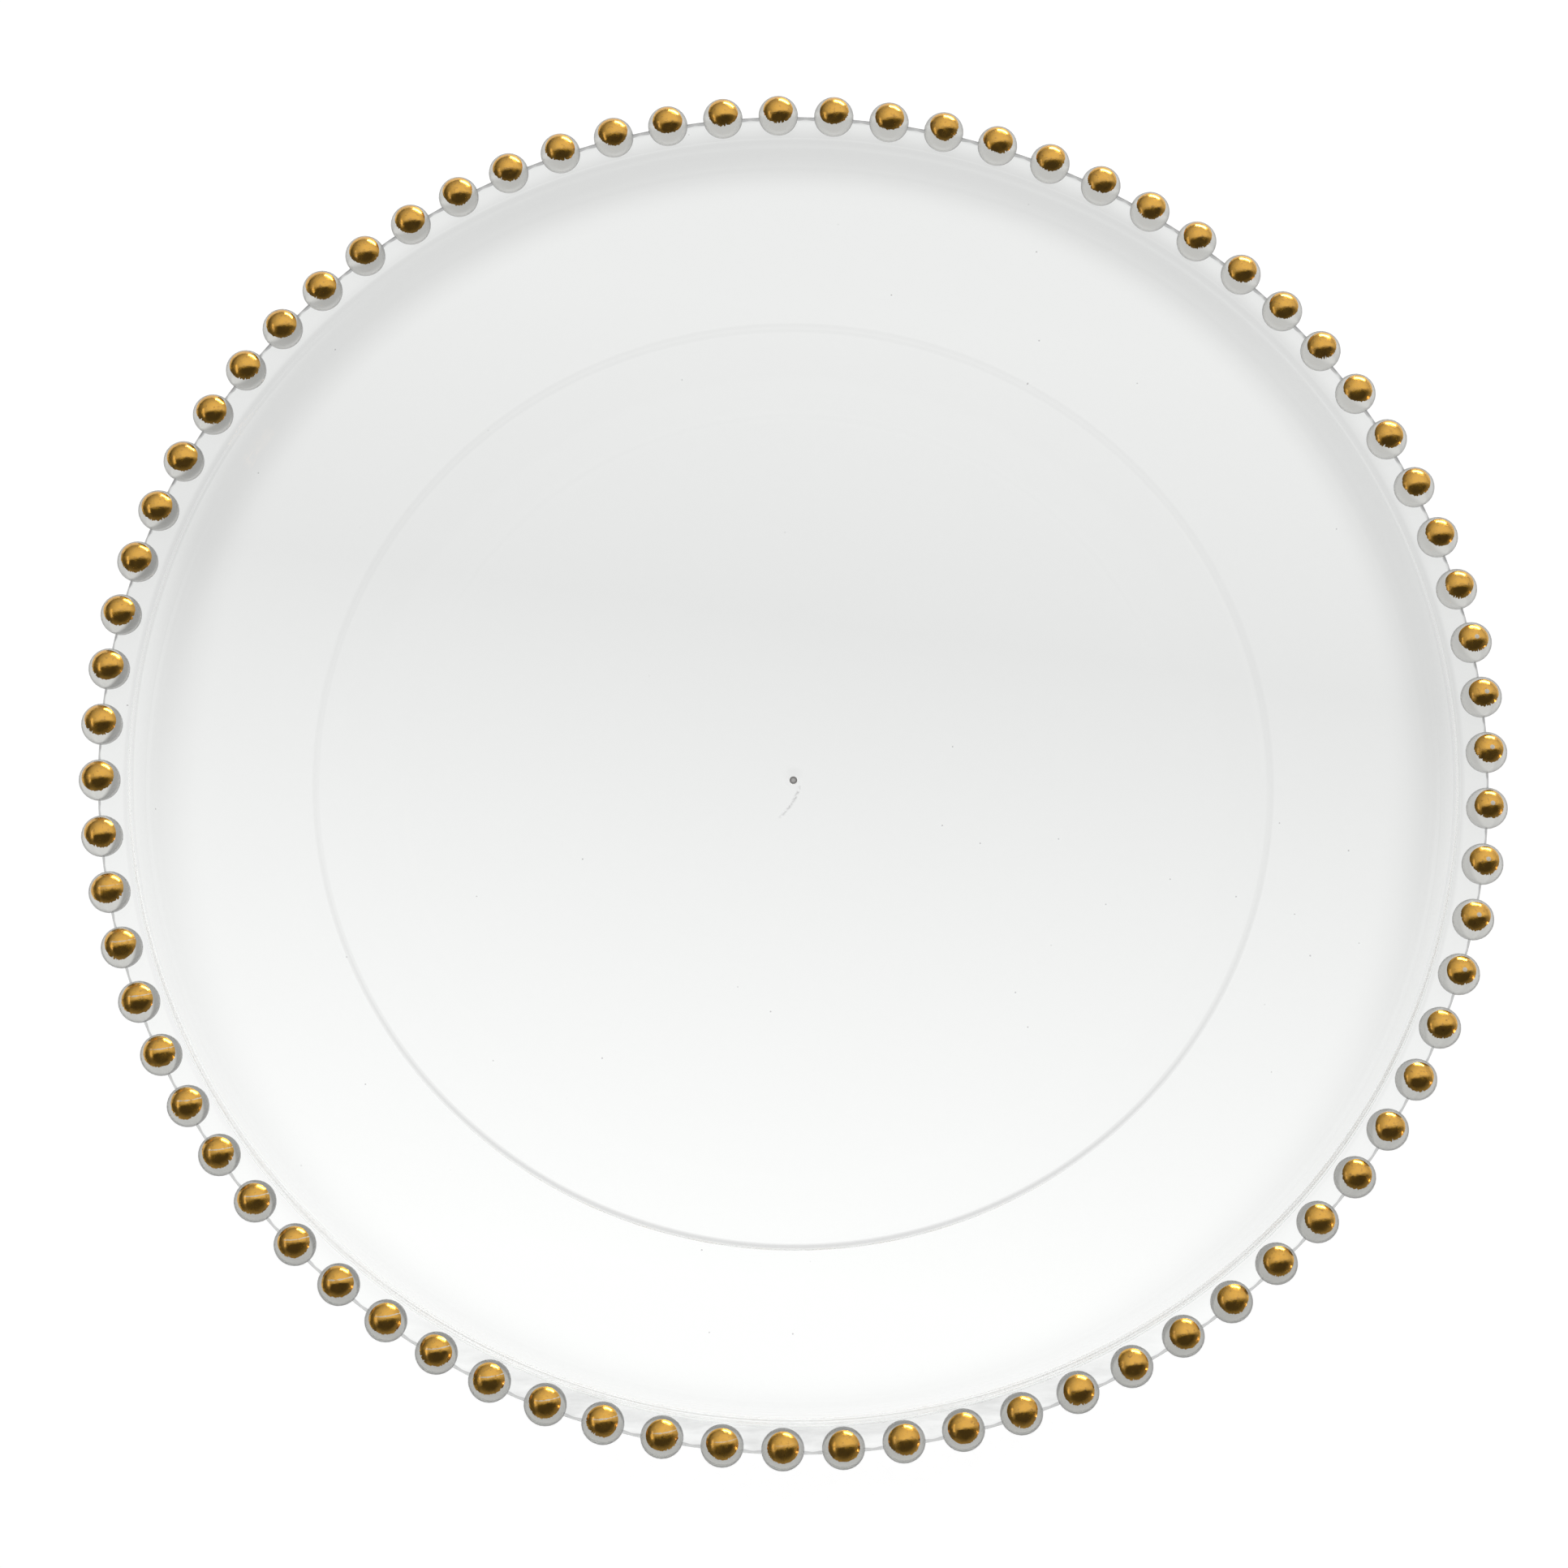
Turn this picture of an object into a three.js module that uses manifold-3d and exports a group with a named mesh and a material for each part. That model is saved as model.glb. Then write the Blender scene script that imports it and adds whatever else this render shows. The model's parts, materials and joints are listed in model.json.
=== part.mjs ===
// Round serving tray with a beaded rim: one clear injection moulding that carries a ring of beads,
// and a gold foil cap on the crown of each bead.
// Millimetres, +Z up. The origin is on the tray's axis, in the plane that the foot ring stands on.

import * as THREE from 'three';
import { mergeVertices } from 'three/addons/utils/BufferGeometryUtils.js';
import Module from 'manifold-3d';

// The dish, from its middle outwards. Diameters are those of the corners before they are rounded.
const OVERALL_DIAMETER = 330; // across the beads
const WALL = 2.2; // thickness of the moulding
const FOOT_DIAMETER = 195;
const FOOT_WIDTH = 4;
const FOOT_HEIGHT = 0.8;
const FLOOR_DIAMETER = 204; // flat floor of the well
const WELL_DIAMETER = 225.8; // crease at the top of the well
const WELL_DEPTH = 5.9;
const FLANGE_DIAMETER = 296; // where the flange meets the side wall
const FLANGE_RISE = 2.9; // from the crease to the side wall
const LEDGE_DIAMETER = 307; // where the side wall meets the ledge that the beads stand on
const SIDE_HEIGHT = 11.6; // from the flange up to the ledge
const LEDGE_PAST_BEADS = 0.8; // how far the ledge's edge lies outside the beads' centres

// Radii on the hollow side of each corner. The other side's radius is one wall thickness larger.
const COVE_RADIUS = 12; // round the floor of the well
const CREASE_RADIUS = 0.3; // under the crease
const SIDE_RADIUS = 3.5; // between the flange and the side wall
const LEDGE_RADIUS = 0.6; // under the ledge

// Mark that the injection point leaves under the middle of the floor
const GATE_DIAMETER = 1.8;
const GATE_HEIGHT = 0.35;

// Beads: balls that stand half buried in the edge of the ledge
const BEAD_DIAMETER = 9.6;
const BEAD_GAP = 3.83; // clear width between two beads, along their circle
const BEAD_RISE = 1.6; // centres of the beads above the ledge

// Gold foil, drawn thick enough to be a solid
const FOIL_THICKNESS = 0.25;
const FOIL_CLEARANCE = 0.05; // between the foil and the bead that it lies on
const FOIL_ANGLE = 46; // degrees from the top of the bead to the foil's edge
const FOIL_PIECES = 59; // caps that are solids of their own; any others are one with their beads

// Facets
const BEAD_SIDES = 8;
const CROWN_STEPS = 2; // rings of facets from the foil's edge to the top of a bead
const BELLY_STEPS = 2; // rings of facets from the middle of a bead to its foot
const CORNER_STEPS = 2; // facets round a corner of the dish
const CORNER_SHARE = 0.48; // most of a straight stretch that one rounded corner may take up
const GATE_SIDES = 12;

// Places that follow from the sizes
const floorTop = FOOT_HEIGHT + WALL;
const creaseTop = floorTop + WELL_DEPTH;
const flangeTop = creaseTop + FLANGE_RISE;
const ledgeTop = flangeTop + SIDE_HEIGHT;
const beadHeight = ledgeTop + BEAD_RISE;
const beadRadius = BEAD_DIAMETER / 2;
const beadCircle = OVERALL_DIAMETER / 2 - beadRadius;
const beadCount = Math.round((2 * Math.PI * beadCircle) / (BEAD_DIAMETER + BEAD_GAP));
const beadTurn = (2 * Math.PI) / beadCount;
const capCount = Math.min(beadCount, FOIL_PIECES);
const foilInside = beadRadius + FOIL_CLEARANCE;
const foilOutside = foilInside + FOIL_THICKNESS;

const clearPlastic = new THREE.MeshStandardMaterial({
  color: 0xf2f4f3,
  roughness: 0.08,
  metalness: 0,
  transparent: true,
  opacity: 0.3,
});
const goldFoil = new THREE.MeshStandardMaterial({
  color: 0xd0992f,
  roughness: 0.16,
  metalness: 1,
});

const wasm = await Module();
wasm.setup();

/** The solid of a closed geometry, ready to be joined. */
function toSolid(geometry) {
  const bare = geometry.clone();
  bare.deleteAttribute('normal');
  bare.deleteAttribute('uv');
  const merged = mergeVertices(bare);
  return new wasm.Manifold(new wasm.Mesh({
    numProp: 3,
    vertProperties: new Float32Array(merged.attributes.position.array),
    triVerts: new Uint32Array(merged.index.array),
  }));
}

/** The geometry of a joined solid. */
function toGeometry(solid) {
  const mesh = solid.getMesh();
  const geometry = new THREE.BufferGeometry();
  geometry.setAttribute('position', new THREE.BufferAttribute(mesh.vertProperties, 3));
  geometry.setIndex(new THREE.BufferAttribute(mesh.triVerts, 1));
  geometry.computeVertexNormals();
  return geometry;
}

/** A profile of radius and height, turned about the Z axis. */
function turned(profile, sides, firstCorner = 0) {
  return new THREE.LatheGeometry(profile, sides, firstCorner).rotateX(Math.PI / 2);
}

/** Points on an arc about the origin, by degrees from straight up. */
function arc(radius, from, to, steps) {
  return Array.from({ length: steps + 1 }, (_, step) => {
    const angle = THREE.MathUtils.degToRad(THREE.MathUtils.lerp(from, to, step / steps));
    return new THREE.Vector2(radius * Math.sin(angle), radius * Math.cos(angle));
  });
}

/** Unit vector from one point to another. */
function direction(from, to) {
  return to.clone().sub(from).normalize();
}

/** The corner of the dish's underside that lies one wall below a corner of its top. */
function cornerBelow(before, corner, after) {
  const wayIn = direction(before, corner);
  const wayOut = direction(corner, after);
  const mitre = new THREE.Vector2(wayIn.y + wayOut.y, -wayIn.x - wayOut.x);
  return corner.clone().addScaledVector(mitre, WALL / (1 + wayIn.dot(wayOut)));
}

/** A corner replaced by a curve that meets both its sides, within half of the shorter one. */
function roundedCorner(before, corner, after, radius) {
  const wayIn = direction(before, corner);
  const wayOut = direction(corner, after);
  const turn = Math.acos(wayIn.dot(wayOut));
  const shorter = Math.min(corner.distanceTo(before), corner.distanceTo(after));
  const reach = Math.min(radius * Math.tan(turn / 2), shorter * CORNER_SHARE);
  const start = corner.clone().addScaledVector(wayIn, -reach);
  const end = corner.clone().addScaledVector(wayOut, reach);
  return new THREE.QuadraticBezierCurve(start, corner, end).getPoints(CORNER_STEPS);
}

/** A line of corners with all but its two ends rounded. */
function roundedLine(corners, radii) {
  const last = corners.length - 1;
  const middle = radii.flatMap((radius, i) => (
    roundedCorner(corners[i], corners[i + 1], corners[i + 2], radius)
  ));
  return [corners[0], ...middle, corners[last]];
}

/** Corners of the dish's top, from the axis out to the edge of the ledge. */
function topCorners() {
  const at = (diameter, height) => new THREE.Vector2(diameter / 2, height);
  return [
    at(0, floorTop),
    at(FLOOR_DIAMETER, floorTop),
    at(WELL_DIAMETER, creaseTop),
    at(FLANGE_DIAMETER, flangeTop),
    at(LEDGE_DIAMETER, ledgeTop),
    at(2 * (beadCircle + LEDGE_PAST_BEADS), ledgeTop),
  ];
}

/** Corners of the dish's underside, one wall below those of its top. */
function undersideCorners() {
  const top = topCorners();
  const below = (corner) => new THREE.Vector2(corner.x, corner.y - WALL);
  return [
    below(top[0]),
    ...top.slice(1, -1).map((corner, i) => cornerBelow(top[i], corner, top[i + 2])),
    below(top.at(-1)),
  ];
}

/** Section of the dish, out from the axis along its underside and back along its top. */
function dishProfile() {
  const outside = (hollowRadius) => hollowRadius + WALL;
  const radiiBelow = [outside(COVE_RADIUS), CREASE_RADIUS, outside(SIDE_RADIUS), LEDGE_RADIUS];
  const radiiAbove = [COVE_RADIUS, outside(CREASE_RADIUS), SIDE_RADIUS, outside(LEDGE_RADIUS)];
  return [
    ...roundedLine(undersideCorners(), radiiBelow),
    ...roundedLine(topCorners(), radiiAbove).reverse(),
  ];
}

/** Height of the middle of the dish's wall, at a radius. */
function wallMiddle(radius) {
  const corners = undersideCorners();
  const next = corners.findIndex((corner) => corner.x >= radius);
  const from = corners[next - 1];
  const to = corners[next];
  return THREE.MathUtils.mapLinear(radius, from.x, to.x, from.y, to.y) + WALL / 2;
}

/** Low ring that the tray stands on, up into the wall of the dish above it. */
function footRing() {
  const outer = FOOT_DIAMETER / 2;
  const inner = outer - FOOT_WIDTH;
  return turned([
    new THREE.Vector2(inner, 0),
    new THREE.Vector2(outer, 0),
    new THREE.Vector2(outer, wallMiddle(outer)),
    new THREE.Vector2(inner, wallMiddle(inner)),
    new THREE.Vector2(inner, 0),
  ], beadCount);
}

/** Stub of the injection gate, standing down from the middle of the floor. */
function gateMark() {
  const length = GATE_HEIGHT + WALL / 2;
  return new THREE.CylinderGeometry(GATE_DIAMETER / 2, GATE_DIAMETER / 2, length, GATE_SIDES)
    .rotateX(Math.PI / 2)
    .translate(0, 0, FOOT_HEIGHT - GATE_HEIGHT + length / 2);
}

/** A profile turned about the front bead's axis, with its facets drawn round the true circle. */
function turnedOnBead(profile) {
  const halfSide = Math.PI / BEAD_SIDES;
  const spread = 1 / Math.cos(halfSide);
  return turned(profile, BEAD_SIDES, halfSide)
    .scale(spread, spread, 1)
    .translate(0, -beadCircle, beadHeight);
}

/** Front bead: a ball, with a crown of its own radius where the foil goes. */
function frontBead(crownRadius) {
  return turnedOnBead([
    ...arc(beadRadius, 180, 90, BELLY_STEPS),
    ...arc(crownRadius, FOIL_ANGLE, 0, CROWN_STEPS),
  ]);
}

/** Foil cap of the front bead, a skin whose facets lie along those of the crown. */
function frontCap() {
  return turnedOnBead([
    ...arc(foilInside, 0, FOIL_ANGLE, CROWN_STEPS),
    ...arc(foilOutside, FOIL_ANGLE, 0, CROWN_STEPS),
  ]);
}

/** Whether a bead's cap is a solid of its own: those that are lie evenly round the ring. */
function hasOwnCap(bead) {
  const capsBefore = (number) => Math.ceil((number * capCount) / beadCount);
  return capsBefore(bead + 1) > capsBefore(bead);
}

/** The clear moulding: dish, foot ring, gate mark and beads in one solid. */
function clearMoulding(beads) {
  const bareBead = frontBead(beadRadius);
  const cappedBead = frontBead(foilOutside);
  const ring = beads.map((bead) => (
    (hasOwnCap(bead) ? bareBead : cappedBead).clone().rotateZ(bead * beadTurn)
  ));
  const dish = toSolid(turned(dishProfile(), beadCount));
  const additions = [footRing(), gateMark(), ...ring];
  return toGeometry(additions.reduce((joined, shape) => joined.add(toSolid(shape)), dish));
}

// Beads are counted from the front, -Y, anticlockwise seen from above
const beads = Array.from({ length: beadCount }, (_, bead) => bead);

const group = new THREE.Group();

const tray = new THREE.Mesh(clearMoulding(beads), clearPlastic);
tray.name = 'clear_tray';
group.add(tray);

const capGeometry = frontCap();
for (const bead of beads.filter(hasOwnCap)) {
  const cap = new THREE.Mesh(capGeometry, goldFoil);
  cap.name = `gold_cap_${String(bead + 1).padStart(2, '0')}`;
  cap.rotation.z = bead * beadTurn;
  group.add(cap);
}

export default group;
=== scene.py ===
"""Looks of the round serving tray: a clear moulded dish with a beaded rim, and gold foil on each bead."""
import json
import math

import bpy
import numpy as np
from mathutils import Matrix, Vector


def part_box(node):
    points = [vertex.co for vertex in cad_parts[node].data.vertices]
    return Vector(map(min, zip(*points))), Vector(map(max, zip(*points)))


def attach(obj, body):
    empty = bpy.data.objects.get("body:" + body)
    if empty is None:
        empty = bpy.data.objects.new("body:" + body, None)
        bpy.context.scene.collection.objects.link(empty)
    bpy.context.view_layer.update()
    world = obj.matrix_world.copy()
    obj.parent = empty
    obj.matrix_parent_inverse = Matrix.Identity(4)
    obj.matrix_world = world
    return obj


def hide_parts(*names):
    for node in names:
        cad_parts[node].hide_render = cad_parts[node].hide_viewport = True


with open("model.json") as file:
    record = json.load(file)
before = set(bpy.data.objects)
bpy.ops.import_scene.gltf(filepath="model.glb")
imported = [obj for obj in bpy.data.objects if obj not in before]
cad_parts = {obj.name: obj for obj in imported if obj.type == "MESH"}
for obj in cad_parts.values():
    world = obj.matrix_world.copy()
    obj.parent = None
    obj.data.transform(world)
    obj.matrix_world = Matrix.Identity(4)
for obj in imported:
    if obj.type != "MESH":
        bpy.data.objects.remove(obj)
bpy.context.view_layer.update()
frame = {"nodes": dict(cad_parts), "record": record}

MM = 0.001  # the scene is in metres

# What the frame gives: the foot stands at height zero, and the first bead is at the front, -Y
tray_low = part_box("clear_tray")[0]
mounts = {mount["name"]: mount for mount in frame["record"]["mounts"]}
FLOOR_TOP = mounts["well_floor"]["pos_m"][2]

# Sizes of the moulding. The main ones are those of the solids. The well's wall has a second slope below
# the crease, the foot is a rounded ridge, and some corners have other radii, as the photo's light shows.
WALL = 2.2 * MM
FOOT_RADIUS = 94 * MM  # of the middle of the ridge
FOOT_WIDTH = 9 * MM
FOOT_HEIGHT = FLOOR_TOP - WALL
COVE_SLOPE = math.radians(25)  # of the well's wall
LIP_SLOPE = math.radians(40)  # of the steeper part below the crease
LIP_LENGTH = 2.6 * MM
WELL_RADIUS = 112.5 * MM  # of the crease at the top of the well
WELL_DEPTH = 5.9 * MM
FLANGE_RADIUS = 148 * MM  # where the flange meets the side wall
FLANGE_RISE = 2.9 * MM
LEDGE_RADIUS = 153.5 * MM  # where the side wall meets the ledge that the beads stand on
SIDE_HEIGHT = 11.6 * MM
EDGE_PAST_BEADS = 0.8 * MM  # from the beads' circle out to the edge of the ledge
BEAD_COUNT = 75
BEAD_RADIUS = 4.8 * MM
BEAD_RISE = 1.6 * MM  # centres of the beads above the ledge
GATE_RADIUS = 0.9 * MM
GATE_HEIGHT = 0.35 * MM
GATE_FLARE = 0.3 * MM  # how much wider the stub of the gate is where it meets the floor

# Radii of the moulding's corners. Cove, lip and flange are given on top, one wall less than below.
COVE_HOLLOW = 9.2 * MM
LIP_HOLLOW = 11 * MM
CREASE_HOLLOW = 1.0 * MM
CREASE_ROUND = 2.4 * MM
FLANGE_HOLLOW = 8 * MM
LEDGE_HOLLOW = 1.2 * MM
LEDGE_ROUND = 2.6 * MM
EDGE_ROUND = 0.48 * WALL
GATE_ROUND = 0.1 * MM

# Places that follow from the sizes
CREASE_TOP = FLOOR_TOP + WELL_DEPTH
FLANGE_TOP = CREASE_TOP + FLANGE_RISE
LEDGE_TOP = FLANGE_TOP + SIDE_HEIGHT
BEAD_CENTRE = LEDGE_TOP + BEAD_RISE
BEAD_CIRCLE = -tray_low.y - BEAD_RADIUS
EDGE_RADIUS = BEAD_CIRCLE + EDGE_PAST_BEADS
BEAD_PITCH = 2 * np.pi / BEAD_COUNT
BEAD_ANGLES = np.arange(BEAD_COUNT) * 2 * np.pi / BEAD_COUNT

# Foil. The spreads of its torn edge are in radians of polar angle.
FOIL_ANGLE = math.radians(47)
FOIL_MORE = math.radians(2)  # how much further down the foil comes at the far left
FOIL_LIFT = 0.008 * MM
FOIL_THICKNESS = 0.03 * MM
FOIL_WANDER = 0.018
FOIL_TEETH = (-0.06, 0.02)
FOIL_NICKS = (0.04, 0.13)
NICKED_SHARE = 0.05  # of the edge's points
TORN_TURN = 0.4  # radians round the bead, spread of the torn stretch's middle about the front

# Fineness of the meshes
BESIDE = 0.02 * MM  # from an arc's end to the point that keeps the straight stretch beside it flat
CORNER_STEPS = 6
GATE_STEPS = 4
FOOT_STEPS = 16
COLUMN_SHARES = np.array([0, 0.2, 0.36, 0.5, 0.64, 0.8])  # of the pitch from one bead to the next
BALL_RINGS = 18
BALL_COLUMNS = 30
FOIL_RINGS = 10
FOIL_COLUMNS = 120
MOULDING_SHARP = math.radians(35)  # an edge that turns more than this is shaded sharp
FOIL_SHARP = math.radians(50)


def linear(hex_colour):
    """Linear RGBA of an sRGB hex colour."""
    parts = np.array([int(hex_colour[i:i + 2], 16) for i in (1, 3, 5)]) / 255
    low = parts / 12.92
    high = ((parts + 0.055) / 1.055) ** 2.4
    return (*np.where(parts <= 0.04045, low, high).tolist(), 1.0)


def add_node(tree, kind, inputs=None, **settings):
    """A node with its settings, and its inputs set to values or linked.

    An input given as a socket is linked from it, and one given as a node from that node's first live output.
    """
    node = tree.nodes.new(kind)
    for name, value in settings.items():
        setattr(node, name, value)
    for name, value in (inputs or {}).items():
        if isinstance(value, bpy.types.Node):
            value = next(socket for socket in value.outputs if socket.enabled)
        if isinstance(value, bpy.types.NodeSocket):
            tree.links.new(value, node.inputs[name])
        else:
            node.inputs[name].default_value = value
    return node


def new_material(name):
    """An empty node material, and its tree and output node."""
    material = bpy.data.materials.new(name)
    material.use_nodes = True
    tree = material.node_tree
    tree.nodes.clear()
    return material, tree, tree.nodes.new("ShaderNodeOutputMaterial")


def new_piece(name, vertices, faces, material):
    """A smooth mesh object at the origin."""
    mesh = bpy.data.meshes.new(name)
    mesh.from_pydata(vertices.tolist(), [], faces)
    mesh.polygons.foreach_set("use_smooth", np.ones(len(mesh.polygons), bool))
    mesh.materials.append(material)
    piece = bpy.data.objects.new(name, mesh)
    bpy.context.scene.collection.objects.link(piece)
    return piece


def closed_faces(rings, columns):
    """Quads between the rings of a closed surface, and the fans of triangles that join its ends to two poles.

    Vertices are counted ring by ring, and the first and last poles come after them.
    """
    index = np.arange(rings * columns).reshape(rings, columns)
    after = np.roll(index, -1, 1)
    quads = np.stack([index[:-1], after[:-1], after[1:], index[1:]], -1).reshape(-1, 4)
    first, last = index.size, index.size + 1
    fans = np.concatenate([
        np.stack([np.full(columns, first), after[0], index[0]], -1),
        np.stack([np.full(columns, last), index[-1], after[-1]], -1),
    ])
    return quads, fans


def turned(profile, angles):
    """Vertices, quads and fans of a profile of radius and height carried round the Z axis.

    Its first and last points lie on the axis and become poles. A point at angle a is at
    x = radius sin a, y = -radius cos a, so that angle zero is the front.
    """
    rings = profile[1:-1]
    count, columns = len(rings), len(angles)
    around = np.stack([np.sin(angles), -np.cos(angles)], 1)
    flat = rings[:, None, :1] * around
    height = np.broadcast_to(rings[:, None, 1:], (count, columns, 1))
    poles = np.array([[0, 0, profile[0, 1]], [0, 0, profile[-1, 1]]])
    vertices = np.concatenate([np.concatenate([flat, height], 2).reshape(-1, 3), poles])
    return vertices, *closed_faces(count, columns)


def rounded_line(corners, radii, steps):
    """A line of corners with an arc of the given radius in place of each but the two ends.

    An arc starts and ends radius times tan(half the turn) from its corner. A point a little before
    and after each arc keeps the smooth shading of the straight stretches flat.
    """
    corners = np.asarray(corners, float)
    points = [corners[:1]]
    for before, corner, after, radius in zip(corners, corners[1:], corners[2:], radii):
        way_in = (corner - before) / np.linalg.norm(corner - before)
        way_out = (after - corner) / np.linalg.norm(after - corner)
        turn = math.atan2(way_in[0] * way_out[1] - way_in[1] * way_out[0], way_in @ way_out)
        start = corner - way_in * radius * math.tan(abs(turn) / 2)
        side = math.copysign(radius, turn)
        centre = start + side * np.array([-way_in[1], way_in[0]])
        angles = np.linspace(0, turn, steps + 1)[:, None]
        spoke = start - centre
        square = np.array([-spoke[1], spoke[0]])
        points.append([start - way_in * BESIDE])
        points.append(centre + np.cos(angles) * spoke + np.sin(angles) * square)
        points.append([points[-1][-1] + way_out * BESIDE])
    points.append(corners[-1:])
    return np.concatenate(points)


def foot_ridge():
    """Foot ring: a round-shouldered ridge, its height half of one less the cosine across its width."""
    share = np.linspace(0, 1, FOOT_STEPS + 1)
    radius = FOOT_RADIUS + FOOT_WIDTH * (share - 0.5)
    drop = FOOT_HEIGHT * (1 - np.cos(2 * np.pi * share)) / 2
    return np.stack([radius, FOOT_HEIGHT - drop], 1)


def top_corners():
    """Corners of the dish's top, from the axis out to the edge of the ledge."""
    lip_radius = WELL_RADIUS - LIP_LENGTH * math.cos(LIP_SLOPE)
    lip_height = CREASE_TOP - LIP_LENGTH * math.sin(LIP_SLOPE)
    floor_radius = lip_radius - (lip_height - FLOOR_TOP) / math.tan(COVE_SLOPE)
    return np.array([
        [0, FLOOR_TOP],
        [floor_radius, FLOOR_TOP],
        [lip_radius, lip_height],
        [WELL_RADIUS, CREASE_TOP],
        [FLANGE_RADIUS, FLANGE_TOP],
        [LEDGE_RADIUS, LEDGE_TOP],
        [EDGE_RADIUS, LEDGE_TOP],
    ])


def corners_below(top):
    """Corners of the underside: those of the top but its ends, one wall away from both their sides.

    A corner moves along the sum of its sides' normals, by the wall over one plus the cosine of its turn.
    """
    ways = np.diff(top, axis=0)
    ways /= np.linalg.norm(ways, axis=1)[:, None]
    mitre = ways[:-1] + ways[1:]
    reach = WALL / (1 + (ways[:-1] * ways[1:]).sum(1))
    return top[1:-1] + np.stack([mitre[:, 1], -mitre[:, 0]], 1) * reach[:, None]


def dish_profile():
    """Section of the dish: out from the axis along the underside, and back along the top.

    It starts with the stub of the gate and the foot ring. All other corners are rounded in one line.
    """
    foot = foot_ridge()
    gate = rounded_line([
        [0, FOOT_HEIGHT - GATE_HEIGHT],
        [GATE_RADIUS, FOOT_HEIGHT - GATE_HEIGHT],
        [GATE_RADIUS + GATE_FLARE, FOOT_HEIGHT],
        foot[0] - [BESIDE, 0],
    ], [GATE_ROUND, GATE_ROUND], GATE_STEPS)
    top = top_corners()
    corners = [foot[-1], *corners_below(top), [EDGE_RADIUS, LEDGE_TOP - WALL], *top[::-1]]
    radii = [
        COVE_HOLLOW + WALL, LIP_HOLLOW + WALL, CREASE_HOLLOW, FLANGE_HOLLOW + WALL, LEDGE_HOLLOW,
        EDGE_ROUND, EDGE_ROUND,
        LEDGE_ROUND, FLANGE_HOLLOW, CREASE_ROUND, LIP_HOLLOW, COVE_HOLLOW,
    ]
    outside = rounded_line(corners, radii, CORNER_STEPS)
    return np.concatenate([gate, foot, outside[1:]])


def bead_centres():
    """Centres of the beads, counted from the front."""
    return np.stack([
        BEAD_CIRCLE * np.sin(BEAD_ANGLES),
        -BEAD_CIRCLE * np.cos(BEAD_ANGLES),
        np.full(BEAD_COUNT, BEAD_CENTRE),
    ], 1)


def ring_of_balls():
    """Vertices and faces of a ball for each bead: a half circle turned about each bead's own axis."""
    polar = np.linspace(np.pi, 0, BALL_RINGS)
    half_circle = np.stack([BEAD_RADIUS * np.sin(polar), BEAD_RADIUS * np.cos(polar)], 1)
    half_circle[[0, -1], 0] = 0
    around = np.linspace(0, 2 * np.pi, BALL_COLUMNS, endpoint=False)
    vertices, quads, fans = turned(half_circle, around)
    step = np.arange(BEAD_COUNT)[:, None, None] * len(vertices)
    vertices = (bead_centres()[:, None, :] + vertices).reshape(-1, 3)
    return vertices, (step + quads).reshape(-1, 4).tolist() + (step + fans).reshape(-1, 3).tolist()


def clear_moulding(material):
    """Dish and beads in one closed surface: the turned dish, joined with a ball for each bead.

    The balls bring a material of their own into the joint. Its index becomes the attribute "bead", which is
    one on the balls and zero on the dish, and then the whole moulding has one material.
    """
    columns = (BEAD_ANGLES[:, None] + COLUMN_SHARES * BEAD_PITCH).ravel()
    vertices, quads, fans = turned(dish_profile(), columns)
    dish = new_piece("clear_moulding", vertices, quads.tolist() + fans.tolist(), material)
    ball_mark = bpy.data.materials.new("ball_mark")
    balls = new_piece("balls", *ring_of_balls(), ball_mark)
    apart = [dish.data, balls.data]
    join = dish.modifiers.new("beads", "BOOLEAN")
    join.operation = "UNION"
    join.solver = "MANIFOLD"
    join.material_mode = "TRANSFER"
    join.object = balls
    bpy.context.view_layer.update()
    whole = bpy.data.meshes.new_from_object(dish.evaluated_get(bpy.context.evaluated_depsgraph_get()))
    dish.modifiers.clear()
    dish.data = whole
    marks = np.zeros(len(whole.polygons), np.int32)
    whole.polygons.foreach_get("material_index", marks)
    whole.attributes.new("bead", "FLOAT", "FACE").data.foreach_set("value", marks.astype(np.float32))
    whole.polygons.foreach_set("material_index", np.zeros_like(marks))
    whole.materials.clear()
    whole.materials.append(material)
    whole.polygons.foreach_set("use_smooth", np.ones(len(whole.polygons), bool))
    whole.set_sharp_from_angle(angle=MOULDING_SHARP)
    bpy.data.objects.remove(balls)
    for mesh in apart:
        bpy.data.meshes.remove(mesh)
    bpy.data.materials.remove(ball_mark)
    return dish


def foil_edge(around, middle, random):
    """Polar angle of a foil's edge: a slow wander all round, and a torn, toothed stretch at the front.

    The wander is a sum of three cosines. Teeth and nicks are random draws for each column, weighted by
    the square of half of one plus the cosine of the angle from the middle of the torn stretch.
    """
    wander = sum(
        random.normal(0, FOIL_WANDER) * np.cos(order * around + random.uniform(0, 2 * np.pi))
        for order in (1, 2, 3)
    )
    torn = ((1 + np.cos(around + random.normal(0, TORN_TURN))) / 2) ** 2
    teeth = random.uniform(*FOIL_TEETH, len(around)) * torn
    nicked = random.random(len(around)) < NICKED_SHARE
    nicks = np.where(nicked, -random.uniform(*FOIL_NICKS, len(around)), 0) * torn
    return middle + wander + teeth + nicks


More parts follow.
